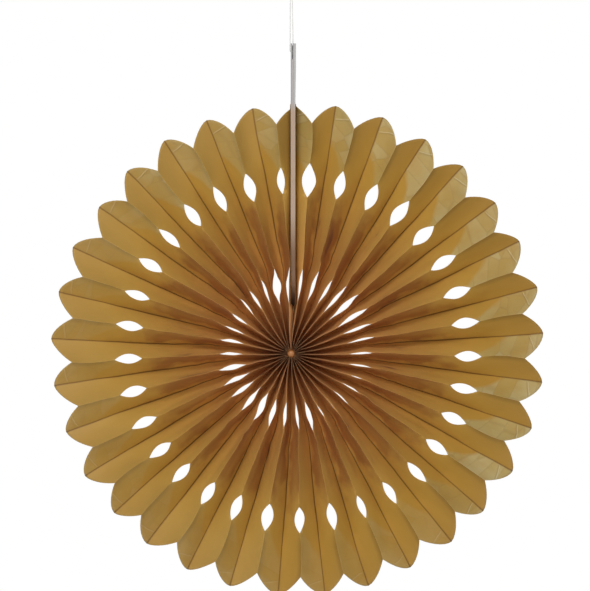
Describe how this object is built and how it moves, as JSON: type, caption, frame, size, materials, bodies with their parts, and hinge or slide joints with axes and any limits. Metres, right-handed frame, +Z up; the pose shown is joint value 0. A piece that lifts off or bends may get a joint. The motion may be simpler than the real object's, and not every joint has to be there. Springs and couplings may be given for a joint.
{
  "type": "paper fan medallion",
  "caption": "Round hanging decoration of pleated, die-cut tissue with lens-shaped holes, stiff end cards and a string loop.",
  "frame": {"origin": "on the fan's axis at the hub, midway between the front and the back folds", "axes": "+Z up through the seam cards to the string loop, -Y towards the viewer, +X to the viewer's right"},
  "size_m": [0.4042, 0.025, 0.5004],
  "materials": {
    "tissue": "thin gold tissue, creased",
    "card": "grey board, cut edges",
    "adhesive": "matt foam tape",
    "glue": "set amber glue",
    "string": "twisted white thread"
  },
  "bodies": {
    "root": {"pleated_tissue": "tissue", "card_left": "card", "card_right": "card", "adhesive_strip": "adhesive", "hub_glue": "glue", "hanging_string": "string", "string_knot": "string"}
  },
  "joints": []
}
